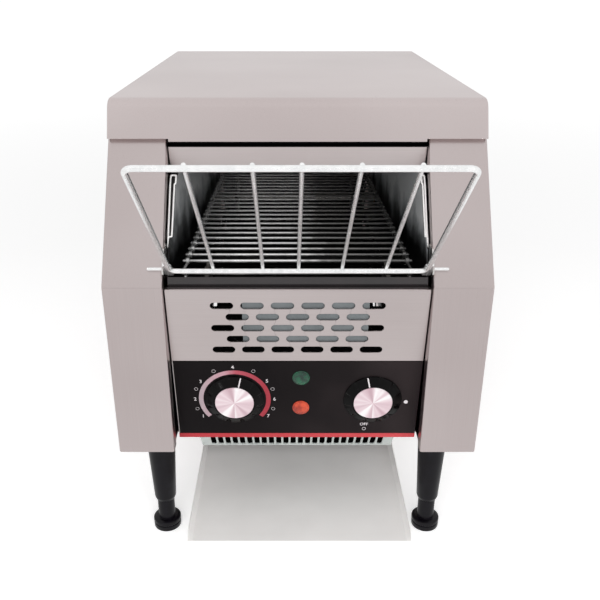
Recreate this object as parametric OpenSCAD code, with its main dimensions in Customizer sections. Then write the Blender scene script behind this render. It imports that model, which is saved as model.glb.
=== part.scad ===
// Conveyor toaster, one bread lane, free standing, sizes in millimetres.
// +X right, +Y towards the back, +Z up. The floor is z = 0. Inside this file y is measured
// back from the nose fold of the side covers; placed() moves the whole machine so that the
// origin is the middle of its footprint, feed rack and toast tray included.

/* [Body] */
// Overall width over the side covers
body_w = 288; // [270:1:300]
// Height of the top cover above the floor
body_h = 382; // [375:1:390]
// Depth from the nose fold to the rear face
body_d = 450; // [440:1:460]
// Thickness of the stainless sheet
sheet_t = 1.2; // [1:0.1:1.5]
// Height of the underside of the body above the floor
base_z = 114; // [112:1:116]
// Height of the nose fold of the side covers
nose_z = 258; // [256:1:260]
// Depth of the top cover's turned-down rim
rim_h = 28; // [26:1:30]
// Set-back of the side cover's slanted face at the rim of the top cover
face_back = 66; // [64:1:68]
// Half the clear width between the two side covers
throat_x = 99.3; // [99:0.1:99.5]

/* [Front panels] */
// Lean of the vent and control panels from the vertical, in degrees
panel_tilt = 7.67; // [7:0.1:8]
// Height of the vent panel's top edge
panel_top_z = 255; // [254:0.5:256]
// Set-back of the vent panel's top edge
panel_top_y = 4.1; // [4:0.1:5]
// Length of the vent panel down its slope
vent_len = 64.6; // [64:0.1:65]
// Length of the control panel down its slope
control_len = 78.6; // [78:0.1:79]
// Pitch of the vent slots along a row
slot_pitch = 22.8; // [22:0.1:23]
// Distance between vent slot rows
row_pitch = 10; // [9.5:0.1:10.5]
// Number of slots in the underside grille
chin_slots = 24; // [20:1:26]

/* [Controls] */
// Distance of the speed knob from the middle plane
speed_x = 50.5; // [50:0.5:55]
// Distance of the selector knob from the middle plane
selector_x = 61; // [58:0.5:62]
// Distance of both knobs down the panel slope
knob_s = 103; // [101:0.5:105]
// Radius of a knob's skirt
skirt_r = 23.5; // [22:0.5:24]
// Radius of a knob's metal cap
cap_r = 15.6; // [14:0.1:16]
// Radius of an indicator lens
lens_r = 6.9; // [6:0.1:7.5]

/* [Conveyor] */
// Pitch of the belt links
link_p = 15.875; // [15.875]
// Belt links on a straight run
run_links = 21; // [19:1:21]
// Teeth of a belt sprocket
belt_teeth = 10; // [10]
// Half the width of the belt
belt_x = 88; // [86:0.5:89]
// Downward slope of the conveyor towards the back, in degrees
belt_tilt = 3; // [2.5:0.1:3]
// Distance of the front shaft from the nose
shaft_y = 37; // [37:0.5:38]
// Height of the front shaft
shaft_z = 239.3; // [239:0.1:240]
// Radius of both belt shafts
shaft_r = 5; // [4:0.5:6]
// Pitch of the drive chain
chain_p = 8; // [8]
// Chain links on a straight run
chain_run = 13; // [13]

/* [Rack, tray and legs] */
// Length of the feed rack from its hinge to its top rail
rack_len = 160; // [150:1:165]
// Angle of the feed rack above the horizontal, in degrees
rack_rise = 41.7; // [38:0.1:45]
// Radius of the rack's frame rod
rail_r = 1.9; // [1.5:0.05:2]
// Half the width of the rack, to the middle of its side rods
rack_x = 93.2; // [93:0.1:94]
// Half the width of the toast tray
tray_x = 94; // [92:0.5:94.5]
// Height of the toast tray's floor
tray_z = 33; // [32:0.5:34]
// Distance of a leg from the middle plane
leg_x = 119.5; // [118:0.5:120]
// Radius of a leg at its top
leg_r = 13.3; // [13:0.1:14]
// Radius of an adjustable foot's pad
foot_r = 12.5; // [12:0.1:13]

/* [Hidden] */
$fn = 48;

t = sheet_t;
half_w = body_w / 2;
lid_z = body_h - rim_h;                      // lower edge of the top cover
wall_out = throat_x - 1.3;                   // outer face of an inner wall
wall_in = wall_out - t;                      // inner face of an inner wall
front_leg_y = 48;
rear_leg_y = body_d - 40;

// slanted face of a side cover: from the nose up to the rim of the top cover
face_slope = face_back / (lid_z - nose_z);
function face_y(z) = (z - nose_z) * face_slope;

// conveyor geometry: the pitch circle is the one through the link joints
belt_pr = link_p / (2 * sin(180 / belt_teeth));
belt_run = run_links * link_p;
rear_y = shaft_y + belt_run * cos(belt_tilt);
rear_z = shaft_z - belt_run * sin(belt_tilt);
wire_r = 1.15;                               // belt wire
eye_r = 2.7;                                 // outside of the eye that hooks the next link
tooth_gap = 0.3;                             // sprocket teeth end this far short of the wires

// chain drive, in the right side cover, from the gear motor up to the rear shaft
chain_x = 131;
chain_dir = 38;                              // slope of the chain, degrees
chain_pr = chain_p / (2 * sin(180 / 12));
chain_len = chain_run * chain_p;
motor_y = rear_y - chain_len * cos(chain_dir);
motor_z = rear_z - chain_len * sin(chain_dir);

// feed rack hinge, just in front of the slanted face
hinge_y = 6.5;
hinge_z = 270.7;
pin_r = 1.35;
pin_end = 110.5;
rack_off = 3;                                // rod plane below the hinge axis

// feet: the stem turns up and down in the leg
stem_r = 7.6;
stem_fit = 0.08;

// outermost points front and back, and the shift that centres the footprint
gland_out = 6;
rack_front = hinge_y - rack_len * cos(rack_rise) - rack_off * sin(rack_rise) - rail_r;
middle_y = (rack_front + body_d + gland_out) / 2;

steel = "#bdb2b0";
bright = "#d6d2d0";
dark = "#3a3738";
black = "#1b191b";
wire = "#e8e8e6";
hot = "#8f8f8f";
white = "#ece8df";
brass = "#c2a25a";

// ---------------------------------------------------------------- helpers

module placed() translate([0, -middle_y, 0]) children();

// a profile drawn in the Y-Z plane, drawn out along X
module along_x(x0, x1) translate([x0, 0, 0]) rotate([90, 0, 90]) linear_extrude(x1 - x0) children();

// the same on both sides of the middle plane
module both_sides() {
    children();
    mirror([1, 0, 0]) children();
}

function unit(v) = v / norm(v);
function side_of(a, b) = let (d = unit(b - a)) [-d[1], d[0]];

// the path shifted sideways by w, with mitred corners
function shifted(p, w) = [for (i = [0 : len(p) - 1])
    let (n = len(p) - 1,
         a = side_of(p[max(i - 1, 0)], p[max(i, 1)]),
         b = side_of(p[min(i, n - 1)], p[min(i + 1, n)]))
    p[i] + w * (a + b) / (1 + a * b)];

// a strip of sheet along the path; w > 0 puts the thickness on its left
function strip(p, w) = concat(p, [for (i = [len(p) - 1 : -1 : 0]) shifted(p, w)[i]]);

// points of the round that replaces corner b between a and c
function corner(a, b, c, r, n = 4) =
    let (u = unit(a - b), v = unit(c - b), half = acos(u * v) / 2,
         m = b + unit(u + v) * r / sin(half),
         p = b + u * r / tan(half) - m, q = b + v * r / tan(half) - m,
         a0 = atan2(p[1], p[0]), turn = atan2(p[0] * q[1] - p[1] * q[0], p * q))
    [for (i = [0 : n]) m + r * [cos(a0 + turn * i / n), sin(a0 + turn * i / n)]];

// a path with every inner corner bent to radius r
function bent(p, r) = concat([p[0]],
    [for (i = [1 : len(p) - 2]) each corner(p[i - 1], p[i], p[i + 1], r)],
    [p[len(p) - 1]]);

// a straight round rod between two points
module rod(a, b, r) {
    d = b - a;
    translate(a) rotate([0, acos(d[2] / norm(d)), atan2(d[1], d[0])]) cylinder(h = norm(d), r = r);
}

// a round bar along X
module bar_x(x0, x1, y, z, r) translate([x0, y, z]) rotate([0, 90, 0]) cylinder(h = x1 - x0, r = r);

// a round-ended slot in the plane, centred
module slot_2d(length, width) {
    square([length - width, width], center = true);
    for (s = [-1, 1]) translate([s * (length - width) / 2, 0]) circle(d = width);
}

// frame on the leaning front panels: X right, Y up the slope, Z out of the panel,
// at distance s down the slope from the vent panel's top edge
module on_panel(x, s)
    translate([x, panel_top_y + s * sin(panel_tilt), panel_top_z - s * cos(panel_tilt)])
        rotate([90 + panel_tilt, 0, 0]) children();

// the place of a leg; side is -1 or 1
module at_leg(side, y) translate([side * leg_x, y, 0]) children();

// ---------------------------------------------------------------- casing

// folded lid with a slanted front lip, turned in at its lower edge, a soft front bend and
// turned-down rims
lid_path = concat([[65.2, lid_z], [61, lid_z]], corner([61, lid_z], [74, body_h], [body_d, body_h], 11, 6),
    corner([74, body_h], [body_d, body_h], [body_d, lid_z], 2, 2), [[body_d, lid_z]]);

module top_cover() color(steel) {
    along_x(-half_w, half_w) polygon(strip(lid_path, -t));
    both_sides() along_x(half_w - t, half_w) polygon(lid_path);
}

// outline of a side cover seen from the side
side_path = [[0, base_z], [0, nose_z], [face_back, lid_z]];

// one side: outer wall, folded front, returns along the throat and the rear edge
module side_cover() {
    along_x(half_w - t, half_w)
        polygon(concat(side_path, [[body_d, lid_z], [body_d, base_z]]));
    front = concat(side_path, [[face_y(lid_z + 8), lid_z + 8]]);
    along_x(throat_x, half_w - t) polygon(strip(front, -t));
    along_x(throat_x, throat_x + t) polygon(strip(shifted(front, -t), -11));
    translate([half_w - 14, body_d - t, base_z]) cube([14 - t, t, lid_z - base_z]);
}

module right_side_cover() color(steel) side_cover();
module left_side_cover() color(steel) mirror([1, 0, 0]) side_cover();

// rear panel with rows of cooling slots and the hole for the mains gland
gland_x = -112;
gland_z = 146;

module rear_panel() color(steel)
    translate([0, body_d - t, 0]) rotate([90, 0, 0]) linear_extrude(t) difference() {
        translate([-half_w + 1.4, base_z + t]) square([body_w - 2.8, lid_z + 10 - base_z - t]);
        for (row = [0 : 5], col = [-3 : 3])
            translate([col * 24, 196 + row * 13]) slot_2d(18, 5);
        translate([gland_x, gland_z]) circle(r = 9);
    }

// floor of the side housings and of the back, open below the toast slide
module base_plate() color(steel)
    translate([0, 0, base_z]) linear_extrude(t) difference() {
        translate([-half_w + t, t]) square([body_w - 2 * t, body_d - 2 * t]);
        translate([-wall_in, 0]) square([2 * wall_in, 330]);
        translate([-throat_x - t, 0]) square([2 * (throat_x + t), 28]);
        for (side = [-1, 1], y = [front_leg_y, rear_leg_y])
            translate([side * leg_x, y]) circle(r = 4.1);
    }

// rear face of the front panels at height z, and of the hood panel
function panel_back(z) = panel_top_y + (panel_top_z - z) * tan(panel_tilt) + t / cos(panel_tilt);
hood_y = 76;
hood_back = hood_y + t;

// wall between the toasting chamber and a side housing; the front panels and the hood
// panel lie on its front edge
heater_ys = [120, 205, 290];
upper_heater_z = 344;
heater_r = 4;
function belt_mid_z(y) = shaft_z - (y - shaft_y) * tan(belt_tilt);
mouth_edge = bent([[27, 279], [32, 286.5], [57.5, 320.5], [62.5, 325], [70, 326]], 4);

module inner_wall() along_x(wall_in, wall_out) difference() {
    polygon(concat([[panel_back(base_z + t), base_z + t], [panel_back(248), 248], [15, 252],
        [20, 264]], mouth_edge, [[hood_back, 327], [hood_back, body_h - 6], [444, body_h - 6],
        [444, base_z + t]]));
    for (p = [[shaft_y, shaft_z], [rear_y, rear_z]]) translate(p) circle(r = 8);
    for (y = heater_ys, z = [upper_heater_z, belt_mid_z(y)]) translate([y, z]) circle(r = 5.1);
}

module right_inner_wall() color(dark) inner_wall();
module left_inner_wall() color(dark) mirror([1, 0, 0]) inner_wall();

// bright strip along the mouth edge of a chamber wall, which leads the bread in
module bread_guide() along_x(wall_in - 3.4, wall_out) polygon(strip(mouth_edge, t));

module right_bread_guide() color(bright) bread_guide();
module left_bread_guide() color(bright) mirror([1, 0, 0]) bread_guide();

// panel under the lid's lip: dark shadow gap above it, turned in at its lower edge
hood_path = [[hood_y, body_h - 6], [hood_y, 347.6], [64.8, 347.6], [68.6, 330], [hood_y, 329]];

module hood_panel() color(steel)
    along_x(-wall_out - 0.6, wall_out + 0.6) polygon(strip(hood_path, t));

// a point of the panels' outer face in the Y-Z plane, at distance s down the slope
function panel_point(s) = [panel_top_y + s * sin(panel_tilt), panel_top_z - s * cos(panel_tilt)];
panel_x = throat_x - 0.8;

// slotted panel, its top edge folded back: rows of six and five round-ended slots
module vent_panel() color(steel) difference() {
    along_x(-panel_x, panel_x)
        polygon(strip(bent([[12, panel_top_z], panel_point(0), panel_point(vent_len)], 1.6), t));
    on_panel(0, 0) translate([0, 0, -3 * t]) linear_extrude(4 * t)
        for (row = [0 : 4]) let (slots = row % 2 == 0 ? 6 : 5)
            for (i = [0 : slots - 1])
                translate([(i - (slots - 1) / 2) * slot_pitch, -13.8 - row * row_pitch])
                    slot_2d(17.4, 5.6);
}

// plate close behind the middle of the upper vent slots, hung from the vent panel's fold
shield_z = 192;
module vent_baffle() color(bright)
    along_x(-42, 54) polygon(strip([[8.1, panel_top_z - t], [8.1, 238], [12.6, 204]], 0.8));

// low dark plate on the vent panel's fold, which keeps crumbs off the front of the belt
module crumb_guard() color(dark)
    along_x(-wall_in, wall_in) polygon(strip([[7.2, panel_top_z], [12, panel_top_z], [12.6, 262]], 0.8));

// printed control panel with a turned-back lower edge, holes for the spindles and lamps
lamp_x = 3;
lamp_s = [81, 111.5];
control_top = panel_point(vent_len + 0.6);
control_end = panel_point(vent_len + 0.6 + control_len);

module control_panel() color(black) difference() {
    along_x(-panel_x, panel_x)
        polygon(strip(bent([control_top, control_end, control_end + [4.5, 0]], 1.6), t));
    for (x = [-speed_x, selector_x]) on_panel(x, knob_s) cylinder(h = 6, r = 5, center = true);
    for (s = lamp_s) on_panel(lamp_x, s) cylinder(h = 6, r = lens_r - 1, center = true);
}

// slotted underside of the control box: slopes down and back, then runs on as its floor
chin_top = [27.2, 111.2];
chin_low = [40, 93.4];
chin_x = 82;

module chin_grille() color(bright) difference() {
    along_x(-chin_x, chin_x)
        polygon(strip([chin_top, chin_low, [102, 101], [102, 110]], 1));
    slope = atan2(chin_low[0] - chin_top[0], chin_top[1] - chin_low[1]);
    for (i = [0 : chin_slots - 1])
        translate([(i - (chin_slots - 1) / 2) * 6.2, chin_top[0], chin_top[1]])
            rotate([90 + slope, 0, 0]) translate([0, -11, -3]) linear_extrude(6)
                rotate(90) slot_2d(15, 3.4);
}

// rear and top wall of the control box, which keeps the heat and the crumbs out
module control_box_shield() color(hot) {
    along_x(-wall_in, wall_in)
        polygon(strip([[103.2, 100], [103.2, shield_z], [19, shield_z]], 1));
    both_sides() along_x(70, chin_x) translate([102, 101]) square([1.2, 9]);
}

// ---------------------------------------------------------------- toasting chamber

// polished ceiling above the upper heaters
module upper_reflector() color(bright)
    along_x(-wall_in, wall_in)
        polygon(strip([[80, 352], [84, 364], [428, 364], [434, 352]], 0.8));

// guide that turns the toast at the back, and the slide that brings it to the tray; tabs
// fix it to the chamber walls at the top and to the tray rails at the bottom
rail_in = wall_in + 0.5;
slide_path = bent([[443.5, 268], [441, 168], [424, 159.5], [118, 50]], 9);

module toast_slide() color(bright) {
    along_x(-90, 90) polygon(strip(slide_path, -1));
    both_sides() along_x(89, 90)
        polygon(strip([[400, 151], [330, 126], [118, 50.1]], -12));
    both_sides() along_x(90, wall_in) translate([441.5, 240]) square([1.8, 24]);
    both_sides() along_x(90, rail_in) translate([150, 66]) square([14, t]);
}

// round heating tubes across the chamber, with their connection pins
module heater(y, z) {
    bar_x(-106, 106, y, z, heater_r);
    bar_x(-113, 113, y, z, 1.5);
}

module upper_heaters() color(white) for (y = heater_ys) heater(y, upper_heater_z);
module lower_heaters() color(white) for (y = heater_ys) heater(y, belt_mid_z(y));

// ceramic bushes that carry the heating tubes in the chamber walls
module heater_bushes() color("#f2efe6") both_sides()
    for (y = heater_ys, z = [upper_heater_z, belt_mid_z(y)]) difference() {
        union() {
            bar_x(wall_in, wall_out, y, z, 5);
            bar_x(wall_out, wall_out + 5, y, z, 7);
        }
        bar_x(wall_in - 1, wall_out + 6, y, z, heater_r + 0.05);
    }

// flanged sleeves for the two belt shafts
module shaft_bearings() color(brass) both_sides()
    for (p = [[shaft_y, shaft_z], [rear_y, rear_z]]) difference() {
        union() {
            bar_x(wall_in - 1, wall_out, p[0], p[1], 7.9);
            bar_x(wall_out, wall_out + 3, p[0], p[1], 11);
        }
        bar_x(wall_in - 2, wall_out + 4, p[0], p[1], shaft_r + 0.06);
    }

// one belt link, joint at the origin and next joint at +Y: a cross wire, bent back at its
// ends into two side legs, a little thinner where they are drawn, which end in eyes round
// the next link's wire
module belt_link() {
    bar_x(-belt_x, belt_x, 0, 0, wire_r);
    both_sides() {
        translate([belt_x, 0, 0]) sphere(r = wire_r);
        rod([belt_x, 0, 0], [belt_x - 3.4, link_p - 2, 0], wire_r - 0.1);
        difference() {
            bar_x(belt_x - 4.6, belt_x - 2.2, link_p, 0, eye_r);
            bar_x(belt_x - 5, belt_x - 1, link_p, 0, wire_r + 0.15);
        }
    }
}

// joints of the top run, then round the rear sprockets, back below and round the front
function belt_joint(i) =
    let (r = run_links, w = belt_teeth / 2, step = 360 / belt_teeth)
    i < r ? [i * link_p, belt_pr, 0]
    : i < r + w ? let (a = 90 - (i - r) * step)
        [belt_run + belt_pr * cos(a), belt_pr * sin(a), a - 90 - step / 2]
    : i < 2 * r + w ? [belt_run - (i - r - w) * link_p, -belt_pr, 180]
    : let (a = 270 - (i - 2 * r - w) * step)
        [belt_pr * cos(a), belt_pr * sin(a), a - 90 - step / 2];

module conveyor_belt() color("#9a9692")
    translate([0, shaft_y, shaft_z]) rotate([-belt_tilt, 0, 0])
        for (i = [0 : 2 * run_links + belt_teeth - 1]) let (j = belt_joint(i))
            translate([0, j[0], j[1]]) rotate([j[2], 0, 0]) belt_link();

// belt sprocket in the plane: a lightened disc whose teeth point between the wires. They end
// just short of the wires' inner side, because the belt stands still while the shafts turn.
tooth_tip = belt_pr - wire_r - tooth_gap;
module belt_sprocket_2d() difference() {
    union() {
        circle(r = tooth_tip - 4.5);
        for (i = [0 : belt_teeth - 1])
            rotate(360 / belt_teeth * i)
                polygon([for (q = [[-6, -3], [-3.5, -2.7], [-1.2, -1.9], [0, -1], [0, 1], [-1.2, 1.9],
                    [-3.5, 2.7], [-6, 3]]) [tooth_tip + q[0], q[1]]]);
    }
    circle(r = shaft_r + 0.02);
    for (i = [0 : 4]) rotate(72 * i) translate([12.5, 0]) circle(r = 3.2);
}

// a pair of sprockets on a shaft at (y, z); the teeth follow the belt's own frame
module sprocket_pair(y, z) translate([0, y, z]) rotate([-belt_tilt, 0, 0])
    both_sides() along_x(68, 71) belt_sprocket_2d();

module front_sprockets() color(hot) sprocket_pair(shaft_y, shaft_z);
module rear_sprockets() color(hot) sprocket_pair(rear_y, rear_z);
module front_shaft() color(bright) bar_x(-106, 106, shaft_y, shaft_z, shaft_r);
module rear_shaft() color(bright) bar_x(-106, 137, rear_y, rear_z, shaft_r);

// ---------------------------------------------------------------- chain drive

chain_roller = 2.5;

// twelve low teeth, which end just short of the chain's rollers
module chain_sprocket(y, z, bore) translate([0, y, z]) rotate([chain_dir, 0, 0]) {
    tip = chain_pr - chain_roller - tooth_gap;
    along_x(chain_x - 1.2, chain_x + 1.2) difference() {
        union() {
            circle(r = tip - 1.9);
            for (i = [0 : 11]) rotate(30 * i + 15)
                polygon([[tip - 2.6, -2], [tip - 0.8, -1.6], [tip, -0.9], [tip, 0.9],
                    [tip - 0.8, 1.6], [tip - 2.6, 2]]);
        }
        circle(r = bore);
    }
    along_x(chain_x + 1.2, chain_x + 5) difference() {
        circle(r = bore + 3);
        circle(r = bore);
    }
}

module driven_sprocket() color(hot) chain_sprocket(rear_y, rear_z, shaft_r + 0.02);

module motor_sprocket() color(hot) {
    chain_sprocket(motor_y, motor_z, 3);
    bar_x(chain_x - 7.5, chain_x + 5, motor_y, motor_z, 3);
}

// roller chain link from joint to next joint: roller, riveted pin and two waisted plates;
// the plates of every second link lie outside
module chain_link(outer) {
    reach = outer ? 3.4 : 2.4;
    bar_x(-2, 2, 0, 0, chain_roller);
    bar_x(-3.8, 3.8, 0, 0, 1.1);
    both_sides() along_x(reach - 0.8, reach) {
        circle(r = 3.2);
        translate([chain_p, 0]) circle(r = 3.2);
        translate([0, -2.1]) square([chain_p, 4.2]);
    }
}

function chain_joint(i) =
    let (r = chain_run, step = 30)
    i < r ? [i * chain_p, chain_pr, 0]
    : i < r + 6 ? let (a = 90 - (i - r) * step)
        [chain_len + chain_pr * cos(a), chain_pr * sin(a), a - 90 - step / 2]
    : i < 2 * r + 6 ? [chain_len - (i - r - 6) * chain_p, -chain_pr, 180]
    : let (a = 270 - (i - 2 * r - 6) * step)
        [chain_pr * cos(a), chain_pr * sin(a), a - 90 - step / 2];

module drive_chain() color("#6d6a66")
    translate([chain_x, motor_y, motor_z]) rotate([chain_dir, 0, 0])
        for (i = [0 : 2 * chain_run + 11]) let (j = chain_joint(i))
            translate([0, j[0], j[1]]) rotate([j[2], 0, 0]) chain_link(i % 2 == 0);

// flat gear motor: round can, gearbox step and the boss round its output shaft
module gear_motor() color("#a9a49c") difference() {
    union() {
        bar_x(wall_out + 3, wall_out + 17, motor_y, motor_z, 25);
        bar_x(wall_out + 17, wall_out + 24, motor_y, motor_z, 22);
        bar_x(wall_out + 24, chain_x - 6, motor_y, motor_z, 6);
    }
    bar_x(chain_x - 8, chain_x, motor_y, motor_z, 3.05);
}

// plate that carries the motor on the outside of the right chamber wall
module motor_bracket() color(steel) along_x(wall_out, wall_out + 3) difference() {
    translate([motor_y - 34, motor_z - 27]) square([68, 54]);
    for (side = [-1, 1]) translate([motor_y + side * 29, motor_z]) circle(r = 2.2);
}

// ---------------------------------------------------------------- controls

// body of a rotary part behind the panel, with its neck in the panel hole
module rotary_body(x, side_x, side_y, depth) on_panel(x, knob_s) difference() {
    union() {
        translate([-side_x / 2, -side_y / 2, -t - depth]) cube([side_x, side_y, depth]);
        translate([0, 0, -t]) cylinder(h = t, r = 4.8);
    }
    translate([0, 0, -t - 8]) cylinder(h = 20, r = 3.08);
}

module speed_regulator() color(dark) rotary_body(-speed_x, 34, 34, 22);
module selector_switch() color(dark) rotary_body(selector_x, 42, 44, 40);

// a low knob: thin skirt, cone with shallow grips that fade out towards the top, and the
// spindle that turns in the part behind
knob_h = 4.6;
grips = 12;

module knob(x) on_panel(x, knob_s) {
    difference() {
        translate([0, 0, 0.6]) rotate_extrude()
            polygon([[0, 0], [skirt_r - 0.4, 0], [skirt_r, 0.4], [skirt_r, 1], [skirt_r - 1.2, 1.3],
                [cap_r + 1, knob_h - 0.6], [0, knob_h - 0.6]]);
        for (i = [0 : grips - 1]) rotate((i + 0.5) * 360 / grips)
            rod([skirt_r + 2.3, 0, 2.3], [cap_r + 2.9, 0, knob_h + 2.7], 3);
    }
    translate([0, 0, -8]) cylinder(h = 8.7, r = 3);
}

// spun metal disc on the top of a knob
module knob_cap(x) on_panel(x, knob_s) translate([0, 0, knob_h]) rotate_extrude()
    polygon([[0, 0], [cap_r, 0], [cap_r, 0.5], [cap_r - 0.5, 0.8], [0, 0.8]]);

module speed_knob() color(black) knob(-speed_x);
module speed_knob_cap() color(bright) knob_cap(-speed_x);
module selector_knob() color(black) knob(selector_x);
module selector_knob_cap() color(bright) knob_cap(selector_x);

// low domed lens, and its stem in the panel hole
module lens(s) on_panel(lamp_x, s) rotate_extrude()
    polygon([[0, -t], [lens_r - 1.1, -t], [lens_r - 1.1, 0], [lens_r, 0], [lens_r, 0.5],
        [lens_r - 0.5, 0.9], [lens_r - 1.8, 1.5], [lens_r - 3.8, 2], [0, 2.3]]);

module power_lens() color("#0e6a45") lens(lamp_s[0]);
module heat_lens() color("#e4512a") lens(lamp_s[1]);

module lamp_bodies() color(black) for (s = lamp_s)
    on_panel(lamp_x, s) translate([0, 0, -t - 18]) cylinder(h = 18, r = lens_r + 1);

// block on the outside of the left wall where the mains lead is connected
module terminal_block() color(white) difference() {
    translate([-wall_out - 22, 384, 196]) cube([22, 50, 18]);
    for (i = [0 : 3]) translate([-wall_out - 11, 391 + i * 12, 204]) cylinder(h = 20, r = 2.6);
}

// bushed outlet for the mains lead, through the rear panel
module cord_gland() color(black) translate([gland_x, body_d, gland_z]) rotate([90, 0, 0])
    difference() {
        union() {
            translate([0, 0, -gland_out]) cylinder(h = gland_out + t, r1 = 9.5, r2 = 11);
            translate([0, 0, t]) cylinder(h = t, r = 8.9);
            translate([0, 0, 2 * t]) cylinder(h = 5, r = 11);
        }
        translate([0, 0, -gland_out - 1]) cylinder(h = 30, r = 4.2);
    }

// ---------------------------------------------------------------- slide-out tray

// flat tray with low upstands; the front corners are cut at a slant and the front edge
// is folded down. It lies with a little play between its rails, over to the right.
tray_front = -14.5;
tray_back = 300;
tray_lip = 7;
tray_play = 2;

module toast_tray() color(bright) translate([tray_play, 0, 0]) {
    translate([-tray_x, tray_front, tray_z]) cube([2 * tray_x, tray_back - tray_front, 1]);
    both_sides() along_x(tray_x - 1, tray_x)
        polygon([[tray_front + 1, tray_z + 1], [tray_front + 8, tray_z + tray_lip],
            [tray_back, tray_z + tray_lip], [tray_back, tray_z + 1]]);
    translate([-tray_x, tray_back - 1, tray_z]) cube([2 * tray_x, 1, tray_lip]);
    translate([-tray_x + 3, tray_front, tray_z - 1.5]) cube([2 * tray_x - 6, 1, 1.5]);
}

// hung rails: a side plate from the base down to a lip that carries the tray
module tray_rails() color(steel) both_sides() {
    along_x(rail_in, rail_in + t) translate([140, tray_z - 2]) square([165, base_z - tray_z + 2]);
    along_x(86, rail_in) translate([140, tray_z - 2]) square([165, 1.6]);
    along_x(rail_in + t, rail_in + 10) translate([140, base_z - t]) square([165, t]);
}

// ---------------------------------------------------------------- feed rack

// eyes on the throat edges: a bore for the rack's pin and a stud that its heel rests on
module rack_eyes() color(bright) both_sides() {
    along_x(throat_x - 1.2, throat_x) difference() {
        polygon([[5, 274.6], [2.9, 271.5], [3.6, 267.4], [8, 264], [18, 264], [24, 284], [13, 284]]);
        translate([hinge_y, hinge_z]) circle(r = pin_r + 0.07);
    }
    translate([0, hinge_y, hinge_z]) rotate([180 - rack_rise, 0, 0])
        bar_x(92.5, throat_x - 1.2, -5.6, -0.75, 1.4);
}

// wire rack: bent frame, five cross rods, and two lugs that carry the hinge pins
corner_r = 5.5;
rack_low = 4;                                // lower rail above the hinge, along the rack
rod_xs = [-61.5, -25.5, 0.5, 32, 64];        // cross rods, not quite evenly spaced

module rack_corner(x, y, r, turn) translate([x, y, rack_off]) rotate(turn)
    rotate_extrude(angle = 90) translate([r, 0]) circle(r = rail_r);

module feed_rack() color(wire)
    translate([0, hinge_y, hinge_z]) rotate([180 - rack_rise, 0, 0]) {
        top = rack_len;
        rod([-rack_x + corner_r, top, rack_off], [rack_x - corner_r, top, rack_off], rail_r);
        rod([-rack_x + 6, rack_low, rack_off], [rack_x - 6, rack_low, rack_off], rail_r);
        both_sides() {
            rod([rack_x, rack_low + 6, rack_off], [rack_x, top - corner_r, rack_off], rail_r);
            rack_corner(rack_x - corner_r, top - corner_r, corner_r, 0);
            rack_corner(rack_x - 6, rack_low + 6, 6, -90);
            translate([91, -7, 0.8]) cube([6.8, 20, 1.6]);
            bar_x(92, pin_end, 0, 0, pin_r);
        }
        for (x = rod_xs) rod([x, rack_low, rack_off - 2.2], [x, top, rack_off - 2.2], 1.35);
    }

// ---------------------------------------------------------------- legs and fasteners

// tapered moulded leg with a stud through the base plate; bored for the foot's stem
leg_low = 31;

module leg(side, y) at_leg(side, y) difference() {
    union() {
        rotate_extrude()
            polygon([[0, leg_low], [8.6, leg_low], [9.6, leg_low + 3], [leg_r, base_z], [0, base_z]]);
        translate([0, 0, base_z]) cylinder(h = 9, r = 4);
    }
    translate([0, 0, leg_low - 1]) cylinder(h = 62 - leg_low, r = stem_r + stem_fit);
}

module front_left_leg() color(black) leg(-1, front_leg_y);
module front_right_leg() color(black) leg(1, front_leg_y);
module rear_left_leg() color(black) leg(-1, rear_leg_y);
module rear_right_leg() color(black) leg(1, rear_leg_y);

// foot: stem and a pad of two rings with a groove between them; turned out of the leg to
// level the machine
module foot(side, y) at_leg(side, y) {
    rotate_extrude()
        polygon([[0, 0], [foot_r - 1, 0], [foot_r - 0.2, 0.8], [foot_r - 0.2, 4.2], [foot_r - 1.4, 5.2],
            [foot_r - 0.2, 6.4], [foot_r, 8.6], [foot_r - 0.9, 9.8], [foot_r - 3, 10.3], [0, 10.3]]);
    cylinder(h = 58, r = stem_r);
}

module front_left_foot() color(black) foot(-1, front_leg_y);
module front_right_foot() color(black) foot(1, front_leg_y);
module rear_left_foot() color(black) foot(-1, rear_leg_y);
module rear_right_foot() color(black) foot(1, rear_leg_y);

module leg_nuts() color(bright) for (side = [-1, 1], y = [front_leg_y, rear_leg_y])
    at_leg(side, y) translate([0, 0, base_z + t]) difference() {
        cylinder(h = 6, r = 7.5, $fn = 6);
        translate([0, 0, -1]) cylinder(h = 8, r = 4.05);
    }

// domed screw heads: on the rear flanges and on the rims of the top cover
module screw_head() rotate_extrude() polygon([[0, 0], [3.4, 0], [3.2, 1.1], [2, 1.9], [0, 2.1]]);

module cover_screws() color(bright) {
    both_sides() for (z = [130, 235, 340])
        translate([half_w - 7, body_d, z]) rotate([-90, 0, 0]) screw_head();
    both_sides() for (y = [130, 380])
        translate([half_w, y, lid_z + 14]) rotate([0, 90, 0]) screw_head();
}

// ---------------------------------------------------------------- nodes

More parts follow.
